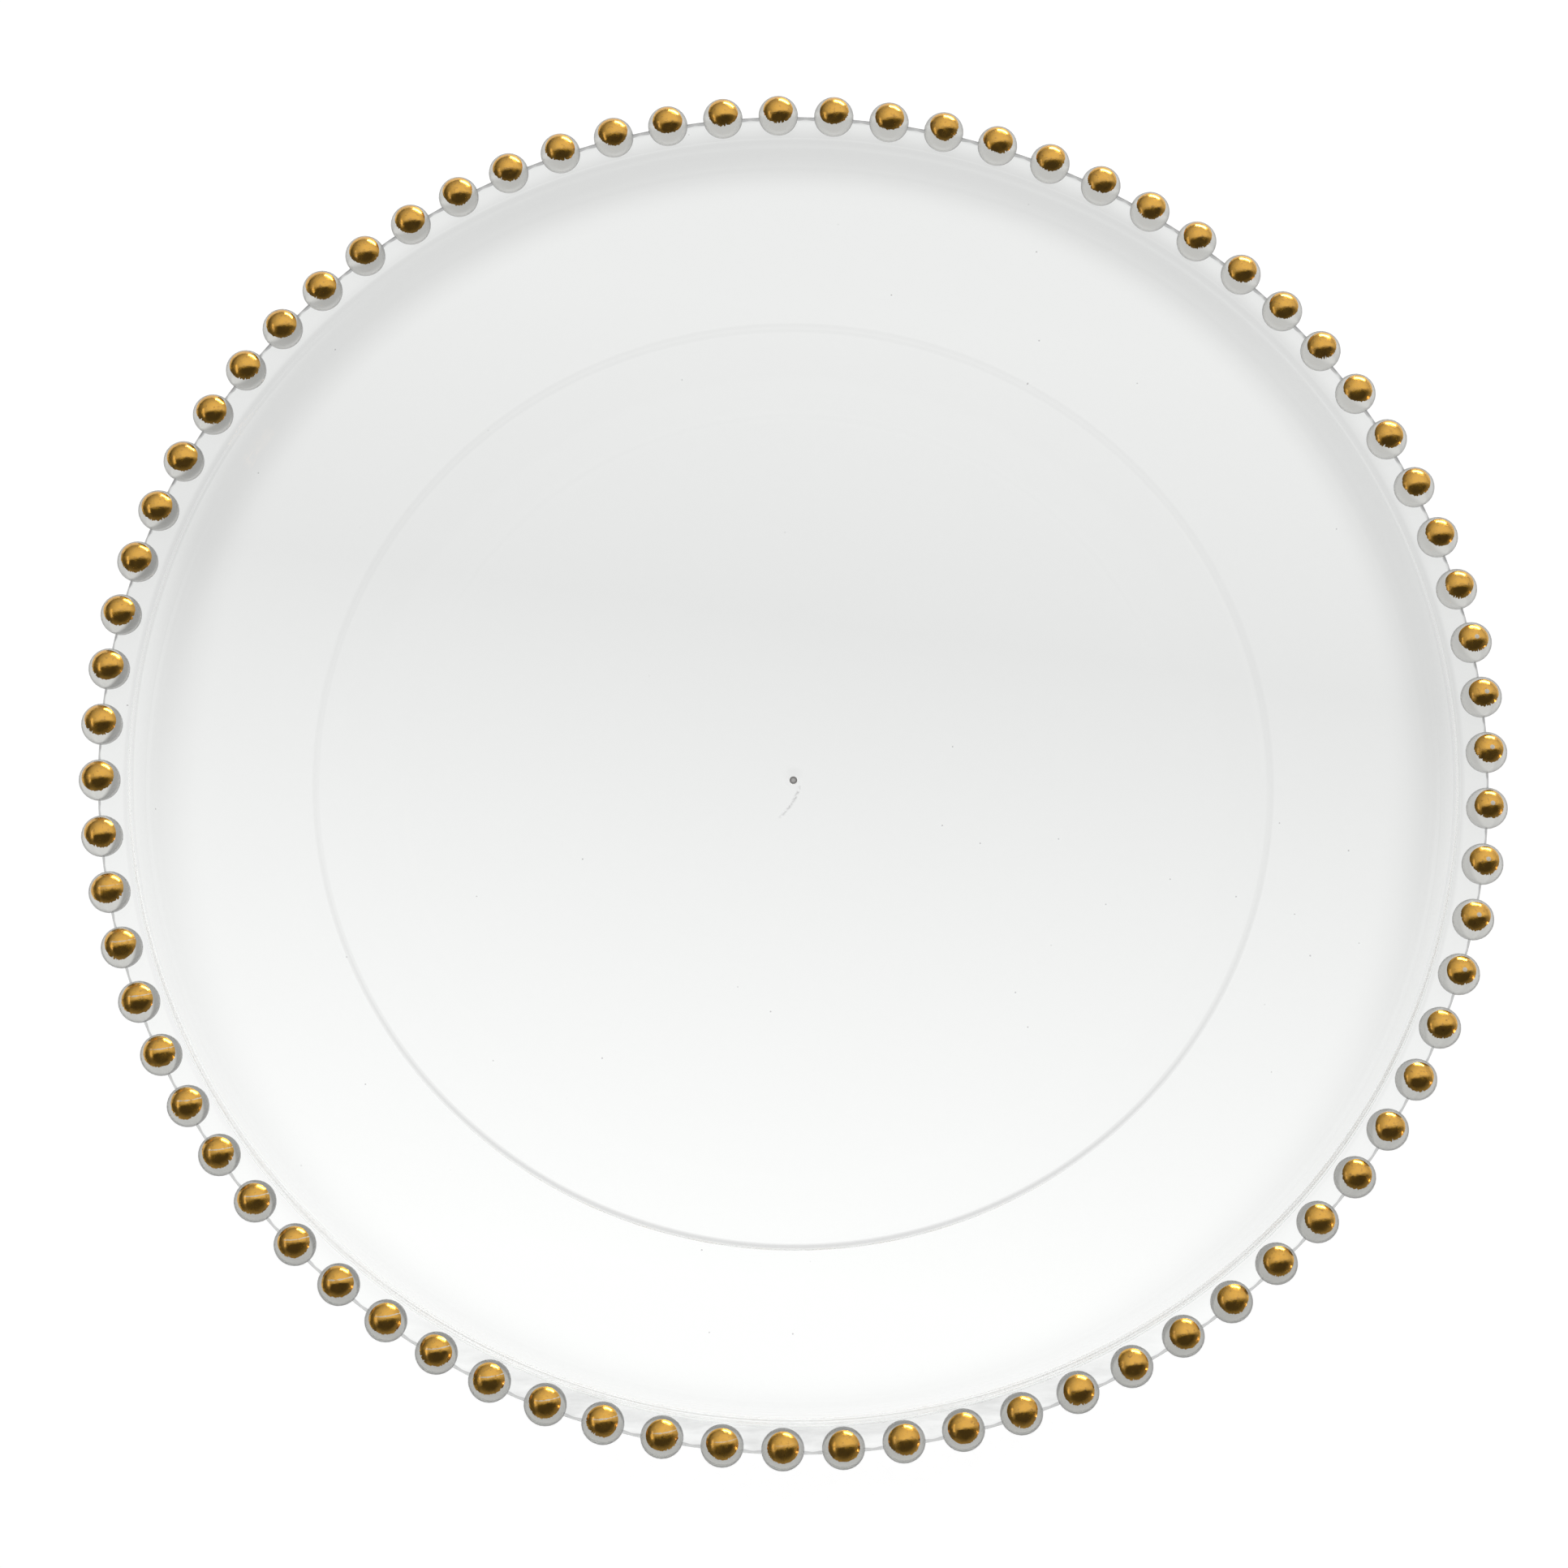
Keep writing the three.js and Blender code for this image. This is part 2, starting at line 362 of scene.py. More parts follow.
def foil_cap(name, centre, random, material):
    """Foil on the top of one bead: two skins of a ball, from the pole to the torn edge, and a rim.

    A point of a skin lies at polar angle share times the edge's angle, at the skin's radius. The attribute
    "on_bead" holds its place from the bead's centre, in bead radii.
    """
    around = np.linspace(0, 2 * np.pi, FOIL_COLUMNS, endpoint=False)
    edge = foil_edge(around, FOIL_ANGLE - FOIL_MORE * centre[0] / BEAD_CIRCLE, random)
    share = np.linspace(0, 1, FOIL_RINGS + 1)[1:]
    polar = share[:, None] * edge
    spoke = np.stack([
        np.sin(polar) * np.sin(around),
        -np.sin(polar) * np.cos(around),
        np.cos(polar),
    ], -1)
    inner = BEAD_RADIUS + FOIL_LIFT
    outer = inner + FOIL_THICKNESS
    skins = np.concatenate([inner * spoke, outer * spoke[::-1]]).reshape(-1, 3)
    poles = np.array([[0, 0, inner], [0, 0, outer]])
    vertices = np.concatenate([skins, poles]) + centre
    quads, fans = closed_faces(2 * FOIL_RINGS, FOIL_COLUMNS)
    cap = new_piece(name, vertices, quads.tolist() + fans.tolist(), material)
    cap.data.set_sharp_from_angle(angle=FOIL_SHARP)
    on_bead = (vertices - centre) / BEAD_RADIUS
    cap.data.attributes.new("on_bead", "FLOAT_VECTOR", "POINT").data.foreach_set("vector", on_bead.ravel())
    return cap


def painted_edge_shade(tree, axes, reach):
    """Painted shade along the ledge's edge between the beads: a grey band that widens beside each bead.

    The turn round the axis, counted in beads and folded at each half, is zero at a bead and a half midway.
    """
    band = 0.6 * MM
    wider = 0.2 * MM
    soft = 0.15 * MM
    turn = add_node(tree, "ShaderNodeMath", {
        0: axes.outputs["X"], 1: axes.outputs["Y"],
    }, operation="ARCTAN2")
    step = add_node(tree, "ShaderNodeMath", {
        0: turn, 1: BEAD_COUNT / (2 * math.pi), 2: BEAD_COUNT / 2,
    }, operation="MULTIPLY_ADD")
    beside = add_node(tree, "ShaderNodeMath", {0: step, 1: 0.5}, operation="PINGPONG")
    flare = add_node(tree, "ShaderNodeMapRange", {
        "Value": beside, "From Min": 0.5, "From Max": 0.35, "To Max": wider,
    }, interpolation_type="SMOOTHSTEP")
    outwards = add_node(tree, "ShaderNodeMath", {0: reach, 1: flare})
    return add_node(tree, "ShaderNodeMapRange", {
        "Value": outwards, "From Min": EDGE_RADIUS - band, "From Max": EDGE_RADIUS - band + soft,
    })


def painted_gate_shadow(tree, place):
    """Painted shadow of the gate's stub: a faint, soft ball of grey just behind the gate."""
    middle = (0, 1.4 * MM, FOOT_HEIGHT)
    off = add_node(tree, "ShaderNodeVectorMath", {0: place, 1: middle}, operation="DISTANCE")
    return add_node(tree, "ShaderNodeMapRange", {
        "Value": off, "From Min": 2.6 * MM, "From Max": 0.6 * MM, "To Max": 0.13,
    }, interpolation_type="SMOOTHSTEP")


def flow_mark(tree, place, axes):
    """Dullness of the wispy flow mark in front of the gate: a broken line.

    It runs along x = start less bend times y squared.
    """
    start = 1.6 * MM
    bend = 53.0  # per metre
    wisp_width = 0.8 * MM
    squared = add_node(tree, "ShaderNodeMath", {
        0: axes.outputs["Y"], 1: axes.outputs["Y"],
    }, operation="MULTIPLY")
    off = add_node(tree, "ShaderNodeMath", {
        0: squared, 1: bend, 2: axes.outputs["X"],
    }, operation="MULTIPLY_ADD")
    off = add_node(tree, "ShaderNodeMath", {0: off, 1: start}, operation="SUBTRACT")
    off = add_node(tree, "ShaderNodeMath", {0: off}, operation="ABSOLUTE")
    mark = add_node(tree, "ShaderNodeMapRange", {
        "Value": off, "From Min": 0.5 * MM, "From Max": 0.1 * MM, "To Max": 0.6,
    })
    near_end = add_node(tree, "ShaderNodeMapRange", {
        "Value": axes.outputs["Y"], "From Min": -1.2 * MM, "From Max": -2.5 * MM,
    })
    far_end = add_node(tree, "ShaderNodeMapRange", {
        "Value": axes.outputs["Y"], "From Min": -9.8 * MM, "From Max": -8.5 * MM,
    })
    wisps = add_node(tree, "ShaderNodeTexNoise", {"Vector": place, "Scale": 1 / wisp_width})
    broken = add_node(tree, "ShaderNodeMapRange", {"Value": wisps, "From Min": 0.4, "From Max": 0.6})
    for part in (near_end, far_end, broken):
        mark = add_node(tree, "ShaderNodeMath", {0: mark, 1: part}, operation="MULTIPLY")
    return mark


def painted_crease_shade(tree, reach, front):
    """Painted shade: a grey line along the crease, faint at the back and strong at the front."""
    off = add_node(tree, "ShaderNodeMath", {0: reach, 1: WELL_RADIUS}, operation="SUBTRACT")
    off = add_node(tree, "ShaderNodeMath", {0: off}, operation="ABSOLUTE")
    strength = add_node(tree, "ShaderNodeMapRange", {"Value": front, "To Min": 0.1, "To Max": 0.48})
    return add_node(tree, "ShaderNodeMapRange", {
        "Value": off, "From Min": 0.75 * MM, "From Max": 0.1 * MM, "To Max": strength,
    }, interpolation_type="SMOOTHSTEP")


def dust_specks(tree, place):
    """Dullness of the dust: a speck wherever the surface comes close to one of a scatter of points."""
    spacing = 11 * MM
    clear_at, full_at = 0.022, 0.014  # in spacings from a point
    cells = add_node(tree, "ShaderNodeTexVoronoi", {"Vector": place, "Scale": 1 / spacing})
    return add_node(tree, "ShaderNodeMapRange", {
        "Value": cells.outputs["Distance"], "From Min": clear_at, "From Max": full_at,
    })


def ledge_wisps(tree, place, axes, reach):
    """Greyness of the streaks along the ledge at the front: noise drawn out along x."""
    streak_width = 2.5 * MM
    drawn_out = (0.3, 1, 1)
    along = add_node(tree, "ShaderNodeVectorMath", {0: place, 1: drawn_out}, operation="MULTIPLY")
    noise = add_node(tree, "ShaderNodeTexNoise", {
        "Vector": along, "Scale": 1 / streak_width, "Detail": 4.0,
    })
    wisps = add_node(tree, "ShaderNodeMapRange", {
        "Value": noise, "From Min": 0.4, "From Max": 0.7, "To Min": 0.06, "To Max": 0.4,
    })
    ledge = add_node(tree, "ShaderNodeMapRange", {
        "Value": reach, "From Min": LEDGE_RADIUS, "From Max": LEDGE_RADIUS + 1.5 * MM,
    }, interpolation_type="SMOOTHSTEP")
    near = add_node(tree, "ShaderNodeMapRange", {
        "Value": axes.outputs["Y"], "From Min": -125 * MM, "From Max": -150 * MM,
    }, interpolation_type="SMOOTHSTEP")
    for part in (ledge, near):
        wisps = add_node(tree, "ShaderNodeMath", {0: wisps, 1: part}, operation="MULTIPLY")
    return wisps


def gate_stub(tree, axes, reach, around):
    """Colour of the dish with the gate's stub: a dark spot with a darker burr, on the underside only."""
    stub = add_node(tree, "ShaderNodeMapRange", {
        "Value": reach, "From Min": 1.1 * GATE_RADIUS, "From Max": GATE_RADIUS,
    })
    below = add_node(tree, "ShaderNodeMath", {
        0: axes.outputs["Z"], 1: FOOT_HEIGHT + 0.5 * MM,
    }, operation="LESS_THAN")
    stub = add_node(tree, "ShaderNodeMath", {0: stub, 1: below}, operation="MULTIPLY")
    burr = add_node(tree, "ShaderNodeMapRange", {
        "Value": reach, "From Min": 0.3 * GATE_RADIUS, "From Max": 0.75 * GATE_RADIUS,
    })
    grey = add_node(tree, "ShaderNodeMix", {
        "Factor": burr, "A": linear("#787674"), "B": linear("#3C3A38"),
    }, data_type="RGBA")
    return add_node(tree, "ShaderNodeMix", {"Factor": stub, "A": around, "B": grey}, data_type="RGBA")


def painted_bead_shade(tree, front):
    """Painted shade on the beads: grey, darker at the front and darkest where seen edge on."""
    facing = add_node(tree, "ShaderNodeLayerWeight", {"Blend": 0.5})
    limb = add_node(tree, "ShaderNodeMapRange", {
        "Value": facing.outputs["Facing"], "From Min": 0.4, "From Max": 0.9,
    }, interpolation_type="SMOOTHSTEP")
    front_grey = add_node(tree, "ShaderNodeMix", {
        "Factor": front, "A": linear("#E4E4E0"), "B": linear("#B4B4B0"),
    }, data_type="RGBA")
    return add_node(tree, "ShaderNodeMix", {
        "Factor": limb, "A": front_grey, "B": linear("#3C3C3A"),
    }, data_type="RGBA")


def clear_acrylic():
    """Injection-moulded clear acrylic: glassy, and faintly grey where light runs far inside it.

    The dish is clouded by dust and a flow mark, greyer in streaks on the ledge at the front, and the gate
    leaves a dark stub. Painted shade lies along the ledge's edge and the crease, with a painted shadow
    behind the gate. The beads carry painted shade. The tint on the specular keeps the plastic's own
    reflections low.
    """
    material, tree, output = new_material("clear_acrylic")
    place = add_node(tree, "ShaderNodeTexCoord").outputs["Object"]
    axes = add_node(tree, "ShaderNodeSeparateXYZ", {"Vector": place})
    flat = add_node(tree, "ShaderNodeVectorMath", {0: place, 1: (1, 1, 0)}, operation="MULTIPLY")
    reach = add_node(tree, "ShaderNodeVectorMath", {0: flat}, operation="LENGTH")
    front = add_node(tree, "ShaderNodeMapRange", {
        "Value": axes.outputs["Y"], "From Min": 0.0, "From Max": -130 * MM,
    }, interpolation_type="SMOOTHSTEP")
    # Painted shade here: the band along the ledge's edge, the crease line and the ball behind the gate.
    dull_or_shaded = painted_edge_shade(tree, axes, reach)
    for mark in (
        painted_gate_shadow(tree, place),
        flow_mark(tree, place, axes),
        painted_crease_shade(tree, reach, front),
        dust_specks(tree, place),
        ledge_wisps(tree, place, axes, reach),
    ):
        dull_or_shaded = add_node(tree, "ShaderNodeMath", {0: dull_or_shaded, 1: mark}, operation="MAXIMUM")
    dish = add_node(tree, "ShaderNodeMix", {
        "Factor": dull_or_shaded, "A": linear("#FCFDFC"), "B": linear("#ADADAD"),
    }, data_type="RGBA")
    # On the beads the colour is painted shade: grey, darker at the front and where seen edge on.
    bead = add_node(tree, "ShaderNodeAttribute", attribute_name="bead")
    colour = add_node(tree, "ShaderNodeMix", {
        "Factor": bead.outputs["Fac"],
        "A": gate_stub(tree, axes, reach, dish),
        "B": painted_bead_shade(tree, front),
    }, data_type="RGBA")
    shader = add_node(tree, "ShaderNodeBsdfPrincipled", {
        "Base Color": colour,
        "Roughness": 0.03,
        "IOR": 1.49,
        "Specular Tint": linear("#707070"),
        "Transmission Weight": 1.0,
    })
    body = add_node(tree, "ShaderNodeVolumeAbsorption", {"Color": linear("#BCBCBA"), "Density": 0.5})
    tree.links.new(shader.outputs[0], output.inputs["Surface"])
    tree.links.new(body.outputs[0], output.inputs["Volume"])
    return material


def foil_scratch(tree, place, on_bead, grain):
    """Bareness of the pale scratch over the caps at the front left, with an edge frayed by the grain.

    It runs along y = lift + slope x + bend x squared, in bead radii from the bead's centre.
    """
    lift, slope, bend = 0.05, 0.12, 0.3
    fray = 0.12
    front_left = (-0.64, -0.77, 0)
    axes = add_node(tree, "ShaderNodeSeparateXYZ", {"Vector": on_bead})
    curve = add_node(tree, "ShaderNodeMath", {
        0: axes.outputs["X"], 1: bend, 2: slope,
    }, operation="MULTIPLY_ADD")
    curve = add_node(tree, "ShaderNodeMath", {
        0: axes.outputs["X"], 1: curve, 2: lift,
    }, operation="MULTIPLY_ADD")
    off = add_node(tree, "ShaderNodeMath", {0: axes.outputs["Y"], 1: curve}, operation="SUBTRACT")
    off = add_node(tree, "ShaderNodeMath", {0: off}, operation="ABSOLUTE")
    frayed = add_node(tree, "ShaderNodeMath", {0: grain, 1: fray, 2: off}, operation="MULTIPLY_ADD")
    scratch = add_node(tree, "ShaderNodeMapRange", {
        "Value": frayed, "From Min": 0.095, "From Max": 0.07, "To Max": 0.9,
    })
    tail = add_node(tree, "ShaderNodeMapRange", {
        "Value": axes.outputs["X"], "From Min": -0.5, "From Max": -0.25,
    })
    side = add_node(tree, "ShaderNodeVectorMath", {0: place, 1: front_left}, operation="DOT_PRODUCT")
    worn_or_glinting = add_node(tree, "ShaderNodeMapRange", {
        "Value": side, "From Min": 120 * MM, "From Max": 145 * MM,
    })
    for part in (tail, worn_or_glinting):
        scratch = add_node(tree, "ShaderNodeMath", {0: scratch, 1: part}, operation="MULTIPLY")
    return scratch


def painted_glint(tree, place, on_bead):
    """Painted highlight: a small white spot on the crown of the caps furthest to the right."""
    crown = (0.12, 0, 1)
    right = (1, -0.07, 0)
    off = add_node(tree, "ShaderNodeVectorMath", {0: on_bead, 1: crown}, operation="DISTANCE")
    spot = add_node(tree, "ShaderNodeMapRange", {"Value": off, "From Min": 0.13, "From Max": 0.09})
    side = add_node(tree, "ShaderNodeVectorMath", {0: place, 1: right}, operation="DOT_PRODUCT")
    worn_or_glinting = add_node(tree, "ShaderNodeMapRange", {
        "Value": side, "From Min": 154 * MM, "From Max": 155 * MM,
    })
    return add_node(tree, "ShaderNodeMath", {0: spot, 1: worn_or_glinting}, operation="MULTIPLY")


def gold_foil():
    """Hot-stamped gold foil under a clear lacquer: deep yellow metal with a fine crumpled grain.

    It has brown stains on the grain's crests, cloudy matt patches, a pale scratch where the gold is gone,
    and a painted highlight: a white spot on the crowns of the caps at the right.
    """
    grain_width = 0.8 * MM
    grain_depth = 0.05 * MM
    cloud_width = 1.6 * MM
    material, tree, output = new_material("gold_foil")
    place = add_node(tree, "ShaderNodeTexCoord").outputs["Object"]
    on_bead = add_node(tree, "ShaderNodeAttribute", attribute_name="on_bead").outputs["Vector"]
    grain = add_node(tree, "ShaderNodeTexNoise", {"Vector": place, "Scale": 1 / grain_width, "Detail": 5.0})
    bump = add_node(tree, "ShaderNodeBump", {"Height": grain, "Strength": 0.9, "Distance": grain_depth})
    stain = add_node(tree, "ShaderNodeMapRange", {
        "Value": grain, "From Min": 0.58, "From Max": 0.74, "To Max": 0.6,
    })
    gold = add_node(tree, "ShaderNodeMix", {
        "Factor": stain, "A": linear("#E9AF3A"), "B": linear("#96651A"),
    }, data_type="RGBA")
    # The pale colour serves a scratch and a painted highlight on the crowns at the right.
    bare_or_glint = add_node(tree, "ShaderNodeMath", {
        0: foil_scratch(tree, place, on_bead, grain), 1: painted_glint(tree, place, on_bead),
    }, operation="MAXIMUM")
    metal = add_node(tree, "ShaderNodeMath", {0: 1.0, 1: bare_or_glint}, operation="SUBTRACT")
    colour = add_node(tree, "ShaderNodeMix", {
        "Factor": bare_or_glint, "A": gold, "B": linear("#F6EEDC"),
    }, data_type="RGBA")
    cloud = add_node(tree, "ShaderNodeTexNoise", {"Vector": place, "Scale": 1 / cloud_width, "Detail": 4.0})
    matt = add_node(tree, "ShaderNodeMapRange", {
        "Value": cloud, "From Min": 0.38, "From Max": 0.66, "To Min": 0.1, "To Max": 0.3,
    })
    shader = add_node(tree, "ShaderNodeBsdfPrincipled", {
        "Base Color": colour,
        "Metallic": metal,
        "Roughness": matt,
        "Coat Weight": 1.0,
        "Coat Roughness": 0.05,
        "Coat IOR": 1.62,
        "Normal": bump,
    })
    tree.links.new(shader.outputs[0], output.inputs["Surface"])
    return material


def painted_table_shade(tree, place):
    """Painted shade of the table as the plastic shows it: white at the front and grey behind the middle.

    A painted soft shadow lies under the side wall, deeper and a little further out at the back. Outside the
    tray the table is painted darker, most of all at the front left, and grows paler again further out.
    """
    backwards = (0.12, 1, 0)
    back_right = (0.7, 0.7, 0)
    darkest = 0.79
    darkest_at = 40 * MM
    slip = 0.07  # how far out the wall's shadow moves, as a share of the distance behind the middle
    back = add_node(tree, "ShaderNodeVectorMath", {0: place, 1: backwards}, operation="DOT_PRODUCT")
    front = add_node(tree, "ShaderNodeMapRange", {
        "Value": back, "From Min": darkest_at, "From Max": -120 * MM, "To Min": darkest, "To Max": 1.01,
    })
    far = add_node(tree, "ShaderNodeMapRange", {
        "Value": back, "From Min": darkest_at, "From Max": 120 * MM, "To Min": darkest, "To Max": 0.85,
    })
    bright = add_node(tree, "ShaderNodeMath", {0: front, 1: far}, operation="MAXIMUM")
    reach = add_node(tree, "ShaderNodeVectorMath", {0: place}, operation="LENGTH")
    behind = add_node(tree, "ShaderNodeMath", {0: back, 1: 0.0}, operation="MAXIMUM")
    ring = add_node(tree, "ShaderNodeMath", {0: behind, 1: -slip, 2: reach}, operation="MULTIPLY_ADD")
    inside = add_node(tree, "ShaderNodeMapRange", {
        "Value": ring, "From Min": 139 * MM, "From Max": 152 * MM,
    }, interpolation_type="SMOOTHSTEP")
    outside = add_node(tree, "ShaderNodeMapRange", {
        "Value": ring, "From Min": 158 * MM, "From Max": 153 * MM, "To Min": 0.2,
    }, interpolation_type="SMOOTHSTEP")
    wall = add_node(tree, "ShaderNodeMath", {0: inside, 1: outside}, operation="MULTIPLY")
    deep = add_node(tree, "ShaderNodeMapRange", {
        "Value": back, "From Min": -50 * MM, "From Max": 140 * MM, "To Min": 0.06, "To Max": 0.15,
    })
    corner = add_node(tree, "ShaderNodeVectorMath", {0: place, 1: back_right}, operation="DOT_PRODUCT")
    dim = add_node(tree, "ShaderNodeMapRange", {
        "Value": corner, "From Min": -100 * MM, "From Max": 100 * MM, "To Min": 0.45, "To Max": 0.15,
    })
    fade = add_node(tree, "ShaderNodeMapRange", {
        "Value": reach, "From Min": 190 * MM, "From Max": 230 * MM, "To Min": 1.0, "To Max": 0.3,
    }, interpolation_type="SMOOTHSTEP")
    dim = add_node(tree, "ShaderNodeMath", {0: dim, 1: fade}, operation="MULTIPLY")
    beyond = add_node(tree, "ShaderNodeMapRange", {
        "Value": reach, "From Min": 169 * MM, "From Max": 177 * MM, "To Max": dim,
    }, interpolation_type="SMOOTHSTEP")
    # Painted shadow under the side wall and painted shade outside the tray.
    shadow = add_node(tree, "ShaderNodeMath", {0: wall, 1: deep, 2: beyond}, operation="MULTIPLY_ADD")
    return add_node(tree, "ShaderNodeMath", {0: bright, 1: shadow}, operation="SUBTRACT")


def white_table():
    """White laminate: plain white to the camera, with a share of real light that shows shadows.

    Through the plastic it shows painted shade and a painted shadow. In the foil and the plastic's gloss
    it is mid grey.
    """
    in_gloss = 0.4
    to_camera = 0.92
    material, tree, output = new_material("white_table")
    path = add_node(tree, "ShaderNodeLightPath")
    camera = path.outputs["Is Camera Ray"]
    through = path.outputs["Is Transmission Ray"]
    place = add_node(tree, "ShaderNodeTexCoord").outputs["Object"]
    # Seen through the plastic, the table carries painted shade and a painted shadow.
    level = add_node(tree, "ShaderNodeMix", {
        "Factor": through, "A": in_gloss, "B": painted_table_shade(tree, place),
    })
    level = add_node(tree, "ShaderNodeMix", {"Factor": camera, "A": level, "B": to_camera})
    seen = add_node(tree, "ShaderNodeMath", {0: camera, 1: through}, operation="MAXIMUM")
    seen = add_node(tree, "ShaderNodeMath", {0: seen, 1: path.outputs["Is Glossy Ray"]}, operation="MAXIMUM")
    strength = add_node(tree, "ShaderNodeMath", {0: seen, 1: level}, operation="MULTIPLY")
    glow = add_node(tree, "ShaderNodeEmission", {"Strength": strength})
    share = add_node(tree, "ShaderNodeMix", {
        "Factor": camera, "A": linear("#F0F0F0"), "B": linear("#8C8C8C"),
    }, data_type="RGBA")
    share = add_node(tree, "ShaderNodeMix", {
        "Factor": through, "A": share, "B": linear("#303030"),
    }, data_type="RGBA")
    lit = add_node(tree, "ShaderNodeBsdfDiffuse", {"Color": share})
    both = add_node(tree, "ShaderNodeAddShader", {0: lit, 1: glow})
    tree.links.new(both.outputs[0], output.inputs["Surface"])
    return material


def studio_floor():
    """The table: one large square, a hair below the foot ring."""
    half = 4.0
    below = 0.02 * MM
    corners = np.array([[-half, -half, 0], [half, -half, 0], [half, half, 0], [-half, half, 0]])
    floor = new_piece("white_table", corners - [0, 0, below], [[0, 1, 2, 3]], white_table())
    return floor


def tent_level(tree, way):
    """Brightness of the studio in a direction: a pale tent behind and left, and the dark side of the camera.

    The tent is brightest a little right of overhead and falls off away from there. The dark part lies in
    front of the middle, ends at the left where the tent begins, and grows paler down to the table.
    """
    backwards = (-0.18, 1, 0)
    overhead = (0.34, 0.26, 0.9)
    axes = add_node(tree, "ShaderNodeSeparateXYZ", {"Vector": way})
    back = add_node(tree, "ShaderNodeVectorMath", {0: way, 1: backwards}, operation="DOT_PRODUCT")
    front = add_node(tree, "ShaderNodeMapRange", {
        "Value": back, "From Min": 0.18, "From Max": -0.12,
    }, interpolation_type="SMOOTHSTEP")
    right = add_node(tree, "ShaderNodeMapRange", {
        "Value": axes.outputs["X"], "From Min": -0.72, "From Max": -0.58,
    }, interpolation_type="SMOOTHSTEP")
    dark = add_node(tree, "ShaderNodeMath", {0: front, 1: right}, operation="MULTIPLY")
    above = add_node(tree, "ShaderNodeVectorMath", {0: way, 1: overhead}, operation="DOT_PRODUCT")
    tent = add_node(tree, "ShaderNodeMapRange", {
        "Value": above, "From Min": 0.0, "From Max": 0.9, "To Min": 0.1, "To Max": 0.9,
    })
    shade = add_node(tree, "ShaderNodeMapRange", {
        "Value": axes.outputs["Z"], "From Min": 0.1, "From Max": 0.6, "To Min": 0.3, "To Max": 0.06,
    })
    return add_node(tree, "ShaderNodeMix", {"Factor": dark, "A": tent, "B": shade})


def area_lamp(name, place, colour, width, height, radiance):
    """A flat lamp of even radiance, turned to the middle of the rim.

    Its power is pi times area times radiance.
    """
    light = bpy.data.lights.new(name, "AREA")
    light.shape = "RECTANGLE"
    light.size = width
    light.size_y = height
    light.energy = math.pi * width * height * radiance
    light.color = linear(colour)[:3]
    lamp = bpy.data.objects.new(name, light)
    lamp.location = place
    aim = Vector((0, 0, BEAD_CENTRE)) - lamp.location
    lamp.rotation_euler = aim.to_track_quat("-Z", "Y").to_euler()
    bpy.context.scene.collection.objects.link(lamp)
    return lamp


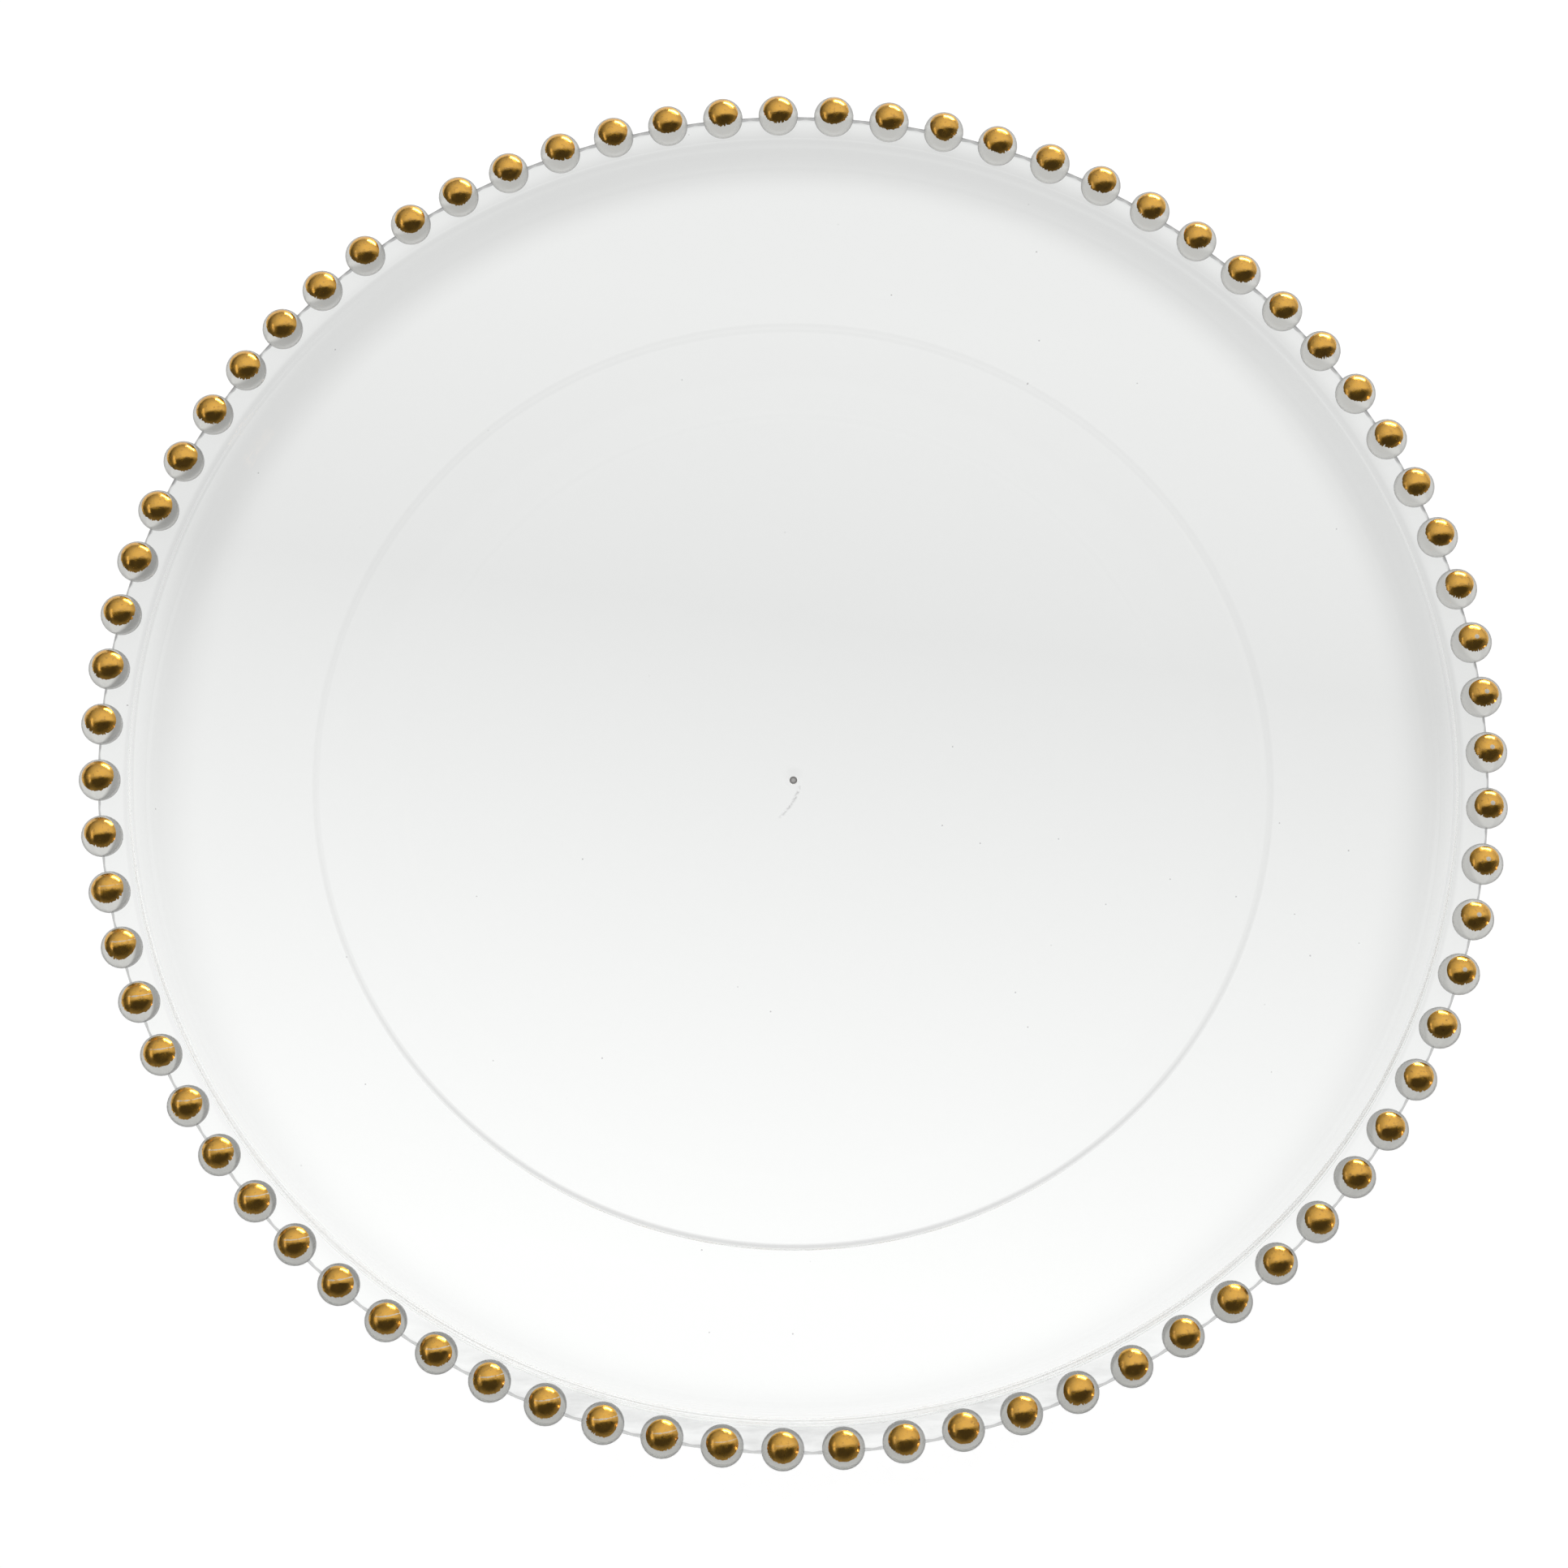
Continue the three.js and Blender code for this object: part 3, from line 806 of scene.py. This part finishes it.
def studio_light(foil_and_table):
    """A light tent behind and left, a low softbox at the back right and two small lamps at the sides.

    The camera sees plain white. The clear plastic sees a soft bright wall at the back right in place of the
    softbox, which lights only the foil and the table.
    """
    back_right = (0.31, 0.94, 0.15)
    world = bpy.data.worlds.new("light_tent")
    bpy.context.scene.world = world
    world.use_nodes = True
    tree = world.node_tree
    tree.nodes.clear()
    output = tree.nodes.new("ShaderNodeOutputWorld")
    way = add_node(tree, "ShaderNodeTexCoord").outputs["Generated"]
    path = add_node(tree, "ShaderNodeLightPath")
    back = add_node(tree, "ShaderNodeVectorMath", {0: way, 1: back_right}, operation="DOT_PRODUCT")
    wall = add_node(tree, "ShaderNodeMapRange", {
        "Value": back, "From Min": 0.2, "From Max": 1.0, "To Min": 0.9, "To Max": 1.35,
    })
    level = add_node(tree, "ShaderNodeMix", {
        "Factor": path.outputs["Is Transmission Ray"], "A": tent_level(tree, way), "B": wall,
    })
    level = add_node(tree, "ShaderNodeMix", {
        "Factor": path.outputs["Is Camera Ray"], "A": level, "B": 1.0,
    })
    sky = add_node(tree, "ShaderNodeBackground", {"Color": linear("#FFFFFF"), "Strength": level})
    tree.links.new(sky.outputs[0], output.inputs["Surface"])
    lit = bpy.data.collections.new("lit_by_softbox")
    for thing in foil_and_table:
        lit.objects.link(thing)
    softbox = area_lamp("softbox", (0.48, 1.47, 0.23), "#FFF3E2", width=0.95, height=0.34, radiance=10.0)
    softbox.light_linking.receiver_collection = lit
    area_lamp("right_lamp", (1.42, -0.39, 0.24), "#FFD9B0", width=0.12, height=0.12, radiance=6.0)
    area_lamp("left_lamp", (-1.04, -0.05, 0.8), "#FFF4E4", width=0.85, height=0.22, radiance=0.7)


def photo_camera():
    """Camera fitted to the ring of beads in the photograph, in its frame of 1932 by 1932 pixels."""
    frame_pixels = 1932
    focal_pixels = 5090
    elevation = math.radians(74.205)
    distance = 949.2 * MM
    roll = math.radians(2.783)
    turn = math.radians(-1.68)
    target = Vector((-2.17 * MM, -8.67 * MM, 28.33 * MM))
    back = Vector((0, -math.cos(elevation), math.sin(elevation)))
    right = Vector((1, 0, 0))
    up = back.cross(right)
    level = Matrix((right, up, back)).transposed()
    spin = Matrix.Rotation(roll, 3, "Z")
    about = Matrix.Rotation(turn, 4, "Z")
    data = bpy.data.cameras.new("photo_camera")
    data.sensor_width = 36
    data.lens = focal_pixels / frame_pixels * data.sensor_width
    data.clip_start = 10 * MM
    camera = bpy.data.objects.new("photo_camera", data)
    camera.matrix_world = about @ (Matrix.Translation(target + back * distance) @ (level @ spin).to_4x4())
    bpy.context.scene.collection.objects.link(camera)
    bpy.context.scene.camera = camera


def dress_tray():
    """The clear moulding and its foil caps, each in place of its solid if it has one. Gives back the caps."""
    gold = gold_foil()
    tray = clear_moulding(clear_acrylic())
    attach(tray, "root")
    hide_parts("clear_tray")
    caps = []
    for bead, centre in enumerate(bead_centres()):
        random = np.random.default_rng(bead)
        cap = foil_cap(f"foil_{bead + 1:02d}", centre, random, gold)
        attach(cap, "root")
        node = f"gold_cap_{bead + 1:02d}"
        if node in frame["nodes"]:
            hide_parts(node)
        caps.append(cap)
    return caps


photo_camera()
studio_light([studio_floor(), *dress_tray()])
bpy.context.scene.view_settings.view_transform = "Standard"
# Light runs far inside clear plastic before it comes out
bounces = 128
bpy.context.scene.cycles.max_bounces = bounces
bpy.context.scene.cycles.glossy_bounces = bounces
bpy.context.scene.cycles.transmission_bounces = bounces
